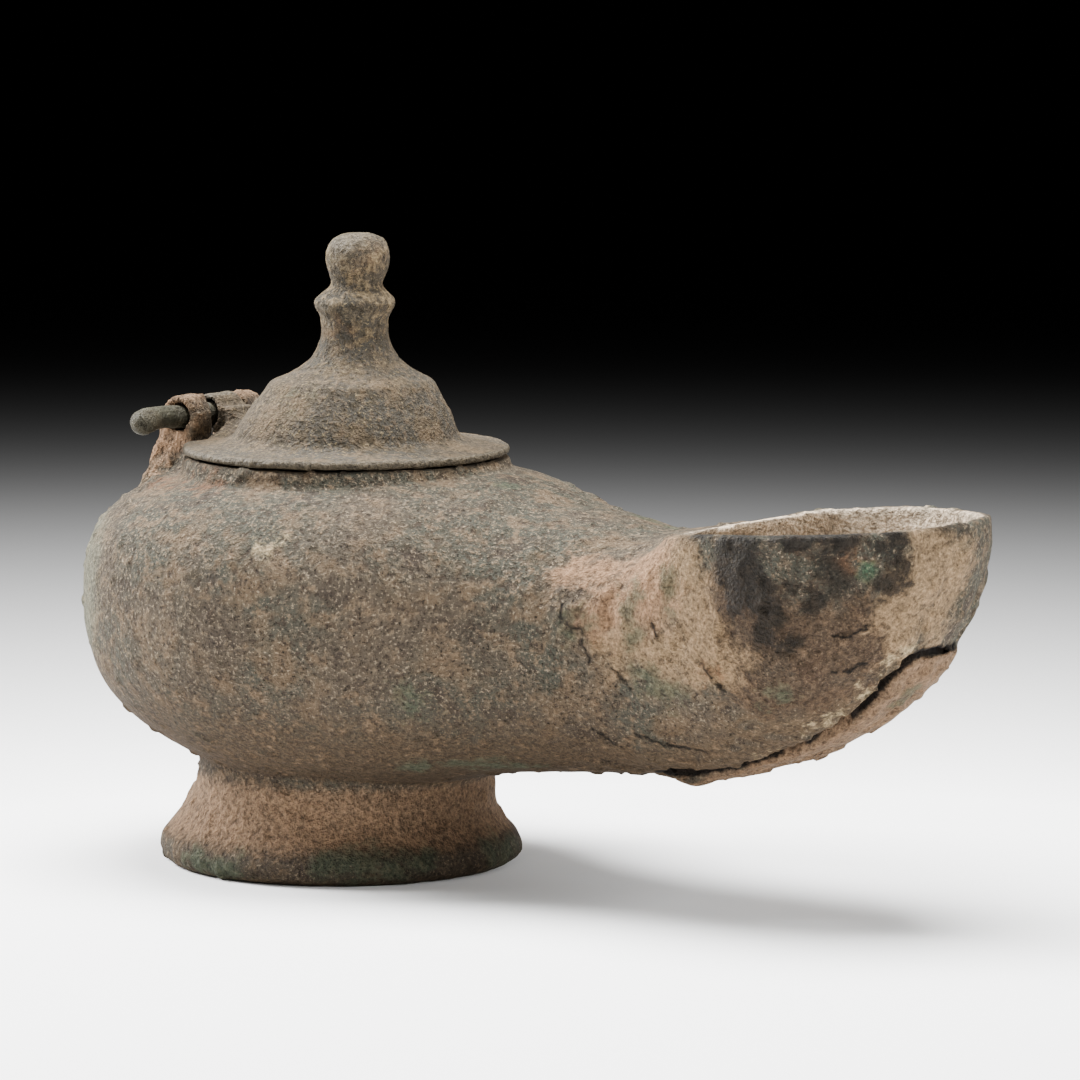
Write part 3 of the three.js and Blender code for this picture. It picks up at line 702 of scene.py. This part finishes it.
def weather(made, seed, slow, quick):
    """Slow waves, grit and small warts of these depths. Depths below nought make the warts pits."""
    points = corners(made)
    depth = slow * wander(points, 11, seed) + 0.7 * slow * wander(points, 4.5, seed + 1)
    depth += quick * wander(points, 2.0, seed + 2) + 0.8 * quick * wander(points, 1.2, seed + 3)
    depth -= quick * 2.5 * smoothstep(wander(points, 2.2, seed + 4), 0.5, 0.7)
    move_to(made, points - normals(made) * depth[:, None])
    return depth


for made, depth in ((body, weather_body(body)), (lid, weather(lid, 21, 0.09, 0.05)),
                    (pin, weather(pin, 31, -0.05, -0.05))):
    print(made.name, "depths from", round(float(depth.min()), 2), "to", round(float(depth.max()), 2), "mm")

# %% [markdown]
# A mesh this fine has more triangles than it needs. The Decimate modifier thins it out, and a vertex group
# makes it take most of them from the inner wall, which nobody sees closely.

# %% Thin out
MOST_TRIANGLES = 196000
points = corners(body)
depth = -grid_values(skin, points, low_corner, CUBE)
hidden = (depth > 1.4) & (points[:, 2] > BELLY_Z - BOWL_DOWN) & ((points[:, 0] < 58) | (points[:, 2] < 40))
group = body.vertex_groups.new(name="inner wall")
for weight, chosen in ((0.0, ~hidden), (1.0, hidden)):
    group.add(np.flatnonzero(chosen).tolist(), weight, "REPLACE")
all_triangles = sum(len(p.vertices) - 2 for p in body.data.polygons)
for pass_name, kept in (("inner wall", all_triangles * (1 - 0.7 * hidden.mean())), ("", MOST_TRIANGLES)):
    triangles = sum(len(p.vertices) - 2 for p in body.data.polygons)
    thin = body.modifiers.new("thin", "DECIMATE")
    thin.ratio = min(1.0, kept / triangles)
    thin.vertex_group = pass_name
    thin.vertex_group_factor = 0.5
    plain(body)
body.vertex_groups.clear()
body.data.shade_smooth()
print("body thinned to", sum(len(p.vertices) - 2 for p in body.data.polygons), "triangles")


# %% Points that thinning threw off the surface go back to their neighbours
points = corners(body)
lost = np.abs(grid_values(form, points, low_corner, CUBE)) > 1.3
pairs = np.array([e.vertices for e in body.data.edges])
pairs = np.r_[pairs, pairs[:, ::-1]]
for far, kept in pairs[lost[pairs[:, 0]] & ~lost[pairs[:, 1]]]:
    points[far] = points[kept]
move_to(body, points)
print("points put back:", int(lost.sum()))


# %% Keep inside the frame's box
def keep_inside(made, low, high):
    points = (corners(made) + TO_ROW) * MM
    move_to(made, np.clip(points, low, high) / MM - TO_ROW)


for made, body_name, node, slot in ((body, "lamp", "lamp_body", "body_bronze"),
                                    (lid, "lid", "lid", "lid_bronze"),
                                    (pin, "lamp", "hinge_pin", "pin_bronze")):
    keep_inside(made, np.array(cad_box[0]), np.array(cad_box[1]))
    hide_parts(node)
    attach(made, body_name)

# %% [markdown]
# Colour changes from place to place: bare dark metal at the rim, pink-tan earth on the neck of the nozzle,
# green copper salts where a flake fell off. Each kind is a number from 0 to 1 on every point of the mesh,
# where 0.5 is the edge of the patch. The material sharpens that edge with its own finer grain.
# Some patches are painted light and shade rather than colours of the lamp: painted shade on the lower body
# and in the gap of the tear, painted light on the inside wall of the mouth, and partly on the bowl's left
# side.

# %% Edges of flakes on the near side, seen from the side, as x and z
FLAKE_EDGES = [
    [(59.2, 42.8), (59.6, 40.4), (60.6, 38.2)], [(64.2, 37.8), (65.8, 36.3), (67.4, 34.2)],
    [(58.4, 28.1), (60.1, 26.5), (62.2, 25.2)], [(56.4, 22.5), (58.8, 21.1)],
    [(101.4, 45.1), (103.2, 45.2), (105.3, 46.6)], [(99.4, 39.8), (101.4, 39.5), (103.2, 41.0)],
    [(66.0, 27.6), (70.5, 26.0), (76.0, 25.4)], [(80.4, 40.2), (82.2, 37.6), (83.6, 36.0)],
    [(71.5, 45.5), (72.8, 43.0)], [(55.6, 46.6), (56.0, 44.6), (57.6, 43.0), (59.4, 43.4)]]


# %% Patches on the body
def patch(points, spots, seed, rough=0.5, wavelength=4.0):
    """Spots are (one end, other end, radius). Their edges wander."""
    best = np.full(len(points), -9.0)
    for start, end, radius in spots:
        best = np.maximum(best, near_line(points, [start, end], radius) * min(radius, 6) / 6)
    ragged = wander(points, wavelength, seed) + 0.5 * wander(points, wavelength * 0.4, seed + 1)
    return np.clip(0.5 + best + rough * 0.5 * ragged, 0, 1)


def paint(made, fields):
    for name, values in fields.items():
        layer = made.data.attributes.new(name, "FLOAT", "POINT")
        layer.data.foreach_set("value", np.ascontiguousarray(values, dtype=np.float32))


points = corners(body)
x, y, z = points.T
near_side = smoothstep(-y, 2, 8)
outward = normals(body)
spots = {
    "bare": ([((78, -22, 60.5), (88, -22, 60.5), 1.4), ((87.5, -22.5, 57.5), (91, -22, 50), 4.7),
              ((92, -21.5, 50), (93.5, -21, 44), 2.4), ((95, -21.5, 60), (102, -18.5, 60), 2.4),
              ((96, -20, 54), (98, -19.5, 51), 1.6),
              ((107.5, -13, 60), (108.5, -12.5, 52), 2.2)], 0.8, 3.0),
    "blue": ([((100.5, -19, 57), (102, -18, 53), 2.2), ((68, -20, 58.3), (84, -22.7, 59.6), 1.0),
              ((84, -22.7, 59.6), (100, -20, 60.3), 1.0),
              ((100, -20, 60.3), (113, -4, 61.2), 1.0)], 0.4, 3.0),
    "pink": ([((57, -19, 53), (70, -20, 54), 4.5), ((62, -21, 47), (72, -21, 49), 4.0),
              ((-31, -11, 64), (-27, -11, 69), 3.2)], 0.8, 3.5),
    "yellow": ([((76, -21, 54), (80, -22, 42), 5.0), ((66, -20, 42), (84, -22, 40), 4.0),
                ((111, -8, 57), (108, -9, 47), 5.0), ((113, -2, 55), (110, -3, 45), 3.4)], 0.8, 4.0),
    "brown": ([((86, -20, 46), (102, -14, 44), 8.5), ((90, -20, 36), (98, -14, 38), 5.0)], 0.6, 5.0),
    "green": ([((57.3, -21.3, 43.8), (58.2, -21.2, 46), 1.7), ((74.7, -20.8, 55.5), (75.2, -21.3, 46.5), 0.9),
               ((67.0, -20.6, 49), (67.5, -20.9, 42.5), 1.0), ((33, -28.4, 31.2), (34, -28.3, 31.5), 2.0),
               ((69, -20.2, 37.9), (74, -20, 35), 1.2), ((-9, -27.6, 2.1), (-3, -28, 1.8), 2.4),
               ((14, -23, 4), (25, -13, 3), 2.2), ((27, 2, 3.5), (26.4, 8, 3), 2.2),
               ((28, -19, 20), (44, -12, 20.5), 1.4), ((93, -19, 34), (96, -18, 31), 1.6)], 0.8, 3.0),
    "spot": ([((105.6, -15.5, 54.7), (105.6, -15.6, 54.7), 1.0)], 0.2, 2.0),
    "pale": ([((82, -9.8, 27.8), (95, -9.5, 33.2), 1.0), ((95, -9.3, 34), (106, -6.8, 43), 1.15),
              ((12.6, -36.1, 54.1), (12.6, -36.1, 54.4), 1.2)], 0.8, 2.4),
    "rust": ([((-9, -25.5, 61.5), (-6, -26.5, 61), 1.3), ((-16, -24, 61), (-14, -25, 61), 1.0),
              ((-25, -18, 61.5), (-19, -22, 61.5), 1.8),
              ((81.4, -21, 39), (82, -21, 38.4), 0.7), ((96, -20, 58), (104, -17, 57), 1.2)], 0.9, 2.0),
    # grey green: partly the crust's grey-green tint, partly painted light, lighter than the crust on the
    # bowl's left
    "grey green": ([((-36, -22, 46), (-30, -28, 44), 9.0)], 0.8, 6.0)}
fields = {}
for seed, (label, (places, rough, wavelength)) in enumerate(spots.items()):
    fields[label] = patch(points, places, 51 + 2 * seed, rough, wavelength)
hidden_green = smoothstep(wander(points, 14, 87) + 0.4 * wander(points, 5, 88), 0.5, 0.75)
fields["green"] = np.maximum(fields["green"], 0.62 * hidden_green * (1 - near_side))
# painted shade under the bowl: the body is painted darker below 45 mm, less so towards the nozzle, and so are
# the foot below 8 mm and faces whose normal points up below 40 mm
ledge = smoothstep(outward[:, 2], 0.0, 0.7) * smoothstep(40 - z, 0, 14) * (1 - 0.5 * smoothstep(x, 66, 84))
foot_low = smoothstep(8 - z, 0, 8) * (0.75 + 0.45 * wander(points, 8, 78))
low = 0.7 * smoothstep(45 - z, 0, 24) * (1 - 0.85 * smoothstep(17 - z, 0, 4))
low = low * (1 - 0.4 * smoothstep(x, 52, 75))
fields["painted_shade_below"] = np.clip(np.maximum.reduce([0.75 * ledge, 0.85 * foot_low, low]), 0, 1)
fields["underside"] = smoothstep(-outward[:, 2], 0.35, 0.9)
on_foot = smoothstep(z, 3, 7) * smoothstep(16 - z, 0, 3)
on_lug = smoothstep(z, CROWN_Z, CROWN_Z + 2) * smoothstep(-x, 23, 25)
fields["tan"] = 0.85 * np.maximum.reduce([on_foot, on_lug, flap(x, y, z)])
# painted light: the inside wall of the mouth is painted pale, most on the far side and less near the rim
within = smoothstep(grid_values(skin, points, low_corner, CUBE), -0.9, -1.5)
in_mouth = smoothstep(x, 60, 68) * smoothstep(z, 40, 50) * (1 - 0.5 * smoothstep(z, 56.5, 59.5))
fields["inner"] = 0.9 * within * in_mouth * (0.5 + 0.5 * smoothstep(y, -8, 4))
# painted shade in the gap of the tear: it is painted near black along its line. The same field also draws
# dark lines along the edges of flakes
gap_line = distance_to_line(points, tear_line + inward * 0.6)
fields["crack"] = smoothstep(1.35 - gap_line, 0, 0.5)
flat = np.stack([x + 0.5 * wander(points, 1.6, 81), z + 0.4 * wander(points, 1.3, 82)], axis=1)
for edge in FLAKE_EDGES:
    gap = distance_to_line(flat, np.array(edge, dtype=float))
    fields["crack"] = np.maximum(fields["crack"], 0.85 * smoothstep(0.5 - gap, 0, 0.4) * near_side)
paint(body, fields)
print("patches, shares of the points:", {k: round(float((v > 0.5).mean()), 3) for k, v in fields.items()})

# %% Patches on the lid and the pin
points = corners(lid)
x, y, z = points.T
on_edge = smoothstep(np.hypot(x, y), COLLAR_R - 1.0, COLLAR_R - 0.4)
edge_bare = np.clip(on_edge * 0.75 + 0.25 * wander(points, 4, 63), 0, 1)
lid_spots = {
    "bare": ([((2.6, -3.5, 33), (3, 0, 34.5), 2.6), ((-2, -5, 22.3), (6, -5, 22.3), 0.9)], 0.6, 2.0),
    "green": ([((1, -5, 33), (0, -4, 34), 1.5), ((-4, -15, 12), (2, -15, 11), 1.2)], 0.5, 3.0),
    "rust": ([((5, -3, 30), (6, -1, 31), 0.9), ((2, -5.5, 21), (3, -5.5, 20), 0.8)], 0.8, 2.0),
    "pale": ([((-3, -4, 32), (-2, -4, 31), 1.4)], 0.8, 2.0)}
lift = np.array([0, 0, LID_Z])
fields = {}
for seed, (label, (places, rough, wavelength)) in enumerate(lid_spots.items()):
    places = [(start + lift, end + lift, radius) for start, end, radius in places]
    fields[label] = patch(points, places, 65 + 2 * seed, rough, wavelength)
fields["bare"] = np.maximum(fields["bare"], edge_bare)
fields["pale"] = np.maximum(fields["pale"], 0.36 * smoothstep(z - LID_Z, 13, 22))
fields["underside"] = smoothstep(-normals(lid)[:, 2], 0.35, 0.9)
paint(lid, fields)
points = corners(pin)
free_end = smoothstep(-points[:, 1], 20.5, 23)
paint(pin, {"bare": np.clip(0.75 - 0.6 * free_end + 0.3 * wander(points, 3, 73), 0, 1),
            "green": np.clip(0.45 + 0.5 * wander(points, 4, 75), 0, 1),
            "pale": 0.6 * free_end + 0.2 * wander(points, 2, 76)})


# %% [markdown]
# The crust is fine soil and copper minerals, cemented by the corrosion of the bronze. It is matt, with no
# gloss at all, and it is grained like coarse sand, about a millimetre across. Below it a bare patch of old
# bronze is dark, and only a little smoother. The base is one Principled shader: its colour is a chain
# of mixes, from the broad tone of the ground down to single grains, and then the patches on top.

# %% Colours
def linear(code):
    """An sRGB hex colour as the linear values that Blender works with."""
    values = [int(code[i:i + 2], 16) / 255 for i in (1, 3, 5)]
    return tuple(v / 12.92 if v <= 0.04045 else ((v + 0.055) / 1.055) ** 2.4 for v in values) + (1.0,)


# %% The crust material
# Each pattern has a real size in millimetres, a detail and a roughness: stains of the ground, clouds within
# them, crumbs of soil, and coarse sand. Dust is far finer in truth, and is drawn coarse enough to show.
PATTERNS = [("broad", 17, 2, 0.5), ("cloud", 7, 3, 0.6), ("blotch", 3.6, 4, 0.65), ("sand", 1.15, 3, 0.7),
            ("dust", 0.5, 2, 0.7)]


def earth_crust(material, layers, patches, gloss):
    """Burial crust on bronze. A layer is (pattern, from, to, colour), and a patch is (field, colour, how
    ragged, how soft, its largest share)."""
    material.use_nodes = True
    tree = material.node_tree
    tree.nodes.clear()
    place = add(tree, "ShaderNodeTexCoord").outputs["Object"]
    millimetres = add(tree, "ShaderNodeVectorMath", {0: place, "Scale": 1 / MM}, operation="SCALE").outputs[0]
    noise = {}
    for label, size, detail, rough in PATTERNS:
        noise[label] = add(tree, "ShaderNodeTexNoise", {
            "Vector": millimetres, "Scale": 1 / size, "Detail": detail, "Roughness": rough}).outputs["Fac"]
    colour = linear(layers[0])
    for pattern, start, end, code in layers[1:]:
        share = add(tree, "ShaderNodeMapRange", {"Value": noise[pattern], "From Min": start, "From Max": end},
                    interpolation_type="SMOOTHSTEP").outputs[0]
        colour = add(tree, "ShaderNodeMix", {0: share, 6: colour, 7: linear(code)},
                     data_type="RGBA").outputs[2]
    speckle = add(tree, "ShaderNodeMath", {0: noise["sand"], 1: noise["dust"]}, operation="ADD").outputs[0]
    grain = add(tree, "ShaderNodeMapRange", {
        "Value": speckle, "From Min": 0.75, "From Max": 1.25, "To Min": 0.45, "To Max": 1.55}).outputs[0]
    uneven = add(tree, "ShaderNodeMath", {0: noise["blotch"], 1: noise["sand"]}, operation="ADD").outputs[0]
    masks = {}
    for field, code, ragged, soft, most in patches:
        value = add(tree, "ShaderNodeAttribute", attribute_name=field).outputs["Fac"]
        edge = add(tree, "ShaderNodeMath", {0: uneven, 1: ragged, 2: value},
                   operation="MULTIPLY_ADD").outputs[0]
        mask = add(tree, "ShaderNodeMapRange", {
            "Value": edge, "From Min": 0.5 + ragged - soft, "From Max": 0.5 + ragged + soft, "To Max": most},
            interpolation_type="SMOOTHSTEP").outputs[0]
        grained = add(tree, "ShaderNodeMix", {0: 1.0, 6: linear(code), 7: grain}, data_type="RGBA",
                      blend_type="MULTIPLY").outputs[2]
        colour = add(tree, "ShaderNodeMix", {0: mask, 6: colour, 7: grained}, data_type="RGBA").outputs[2]
        masks[field] = mask
    height = add(tree, "ShaderNodeMath", {0: noise["sand"], 1: 2.0, 2: noise["dust"]},
                 operation="MULTIPLY_ADD")
    bump = add(tree, "ShaderNodeBump", {"Strength": 1.0, "Distance": 0.42 * MM, "Height": height.outputs[0]})
    rough = add(tree, "ShaderNodeMapRange", {
        "Value": masks["bare"], "To Min": 0.92, "To Max": gloss}).outputs[0]
    metal = add(tree, "ShaderNodeMath", {0: masks["bare"], 1: 0.2}, operation="MULTIPLY").outputs[0]
    sheen = add(tree, "ShaderNodeMapRange", {
        "Value": masks["bare"], "To Min": 0.12, "To Max": 0.16}).outputs[0]
    shader = add(tree, "ShaderNodeBsdfPrincipled", {
        "Base Color": colour, "Roughness": rough, "Metallic": metal, "Specular IOR Level": sheen,
        "Normal": bump.outputs[0]})
    add(tree, "ShaderNodeOutputMaterial", {"Surface": shader.outputs[0]})


def wear(made, material):
    made.data.materials.clear()
    made.data.materials.append(material)


earth = [
    "#443c32", ("broad", 0.36, 0.6, "#3b3b33"), ("cloud", 0.5, 0.66, "#544636"),
    ("cloud", 0.46, 0.3, "#332c26"), ("blotch", 0.5, 0.68, "#514537"), ("blotch", 0.46, 0.28, "#39332a"),
    ("sand", 0.52, 0.68, "#5c5142"), ("sand", 0.48, 0.34, "#352d25"), ("dust", 0.56, 0.72, "#796c5a"),
    ("dust", 0.44, 0.28, "#1d1813")]
thin_earth = [
    "#453d33", ("broad", 0.36, 0.6, "#3e3b35"), ("cloud", 0.5, 0.64, "#544737"),
    ("blotch", 0.5, 0.64, "#4d4335"), ("blotch", 0.46, 0.34, "#3d372d"), ("sand", 0.52, 0.68, "#574b3d"),
    ("sand", 0.48, 0.33, "#383228"), ("dust", 0.56, 0.72, "#6f624b"), ("dust", 0.44, 0.28, "#241f18")]
dark_bronze = [
    "#423f34", ("blotch", 0.46, 0.6, "#524a3a"), ("sand", 0.52, 0.7, "#685f4d"),
    ("sand", 0.48, 0.3, "#2c2920")]
earth_crust(body_crust, earth, [
    # the dark brown low down is painted shade on the lower body and the foot
    ("underside", "#4a3b2a", 0.5, 0.5, 0.7), ("painted_shade_below", "#2d241a", 0.6, 0.5, 0.85),
    # the grey-green patch is partly painted light on the bowl's left side
    ("tan", "#6a5440", 0.5, 0.5, 0.8), ("grey green", "#5c5c4e", 0.7, 0.45, 0.65),
    ("brown", "#3b2d21", 0.9, 0.4, 0.75), ("yellow", "#776249", 1.0, 0.45, 0.75),
    # the pale colour inside the mouth is painted light on its inside wall
    ("pink", "#775c45", 1.0, 0.45, 0.85), ("inner", "#cdb9a0", 0.5, 0.4, 0.9),
    ("pale", "#897a5e", 0.9, 0.25, 0.9), ("rust", "#4f3320", 1.1, 0.35, 0.6),
    ("green", "#323a2d", 1.2, 0.3, 0.65), ("bare", "#16120d", 1.3, 0.22, 0.9),
    ("blue", "#1d1b17", 0.9, 0.25, 0.85), ("spot", "#1a4630", 0.3, 0.2, 0.85),
    # near black: painted shade in the gap of the tear, and dark lines along the edges of flakes
    ("crack", "#070504", 0.0, 0.45, 0.95)], 0.75)
earth_crust(lid_crust, thin_earth, [
    ("underside", "#4c3d2c", 0.5, 0.5, 0.7), ("rust", "#574230", 1.0, 0.35, 0.5),
    ("pale", "#71624a", 1.2, 0.25, 0.8), ("green", "#383e32", 1.0, 0.35, 0.6),
    ("bare", "#494236", 0.9, 0.3, 0.85)], 0.6)
earth_crust(pin_crust, dark_bronze, [
    ("green", "#343a2d", 0.8, 0.3, 0.6), ("bare", "#312e25", 0.6, 0.3, 0.7),
    ("pale", "#6a604a", 0.8, 0.3, 0.8)], 0.5)
wear(body, body_crust)
wear(lid, lid_crust)
wear(pin, pin_crust)
print("materials:", [m.name for m in (body_crust, lid_crust, pin_crust)])

# %% [markdown]
# The lamp stands on a plain pale floor whose colour fades into near black all round, a painted falloff of
# light. It is lit by soft light from large sheets: one overhead, one at each side, and a weak one in front.

# %% Floor
FLOOR_REACH = 2500
BRIGHTEST_AT = (0.05, -0.07, 0.0)  # these three are in metres
BRIGHT_TO = 0.177
DARK_FROM = 1.5
floor_corners = FLOOR_REACH * np.array([(-1, -1, 0), (1, -1, 0), (1, 1, 0), (-1, 1, 0)], dtype=float)
floor = mesh_object("floor", floor_corners, np.array([[0, 1, 2, 3]]))
# uncoated paper: quite matt, so it mirrors nothing. The far part is dark by painted shade: the colour
# fades from pale round the lamp to near black further out
paper = bpy.data.materials.new("pale paper floor")
paper.use_nodes = True
tree = paper.node_tree
tree.nodes.clear()
place = add(tree, "ShaderNodeTexCoord").outputs["Object"]
distance = add(tree, "ShaderNodeVectorMath", {0: place, 1: BRIGHTEST_AT},
               operation="DISTANCE").outputs["Value"]
light_left = add(tree, "ShaderNodeMapRange", {
    "Value": distance, "From Min": DARK_FROM, "From Max": BRIGHT_TO}).outputs[0]
painted_light_share = add(tree, "ShaderNodeMath", {0: light_left, 1: 8.5}, operation="POWER").outputs[0]
colour = add(tree, "ShaderNodeMix", {0: painted_light_share, 6: linear("#010101"), 7: linear("#f0f0f0")},
             data_type="RGBA").outputs[2]
shader = add(tree, "ShaderNodeBsdfPrincipled", {
    "Base Color": colour, "Roughness": 0.9, "Specular IOR Level": 0.0})
add(tree, "ShaderNodeOutputMaterial", {"Surface": shader.outputs[0]})
wear(floor, paper)


# %% Lights
def soft_light(name, at, aim, width, power):
    data = bpy.data.lights.new(name, "AREA")
    data.shape = "SQUARE"
    data.size = width * MM
    data.energy = power
    light = bpy.data.objects.new(name, data)
    light.location = Vector(at) * MM
    light.rotation_mode = "QUATERNION"
    light.rotation_quaternion = (Vector(aim) - Vector(at)).to_track_quat("-Z", "Y")
    bpy.context.scene.collection.objects.link(light)


soft_light("overhead sheet", (-60, 60, 900), (0, 0, 30), 550, 38)
soft_light("left sheet", (-820, -150, 520), (0, 0, 40), 380, 41)
soft_light("right sheet", (900, 150, 450), (0, 0, 40), 500, 13)
soft_light("front sheet", (350, -1000, 700), (0, 0, 40), 600, 4)
world = bpy.data.worlds.new("dark room")
world.use_nodes = True
world.node_tree.nodes["Background"].inputs["Color"].default_value = linear("#010101")
bpy.context.scene.world = world

# %% Camera
CAMERA_AT = np.array([584.4, -782.0, 171.3])
CAMERA_TURN = math.radians(35)
CAMERA_DOWN = math.radians(7.07)
look = Vector((-math.sin(CAMERA_TURN) * math.cos(CAMERA_DOWN), math.cos(CAMERA_TURN) * math.cos(CAMERA_DOWN),
               -math.sin(CAMERA_DOWN)))
camera_data = bpy.data.cameras.new("camera")
camera_data.sensor_width = 36
camera_data.lens = 36 * 6295 / 1080
camera = bpy.data.objects.new("camera", camera_data)
camera.location = (CAMERA_AT + TO_ROW) * MM
camera.rotation_mode = "QUATERNION"
camera.rotation_quaternion = look.to_track_quat("-Z", "Y")
camera_data.clip_start = 0.05
camera_data.clip_end = 50
bpy.context.scene.collection.objects.link(camera)
bpy.context.scene.camera = camera
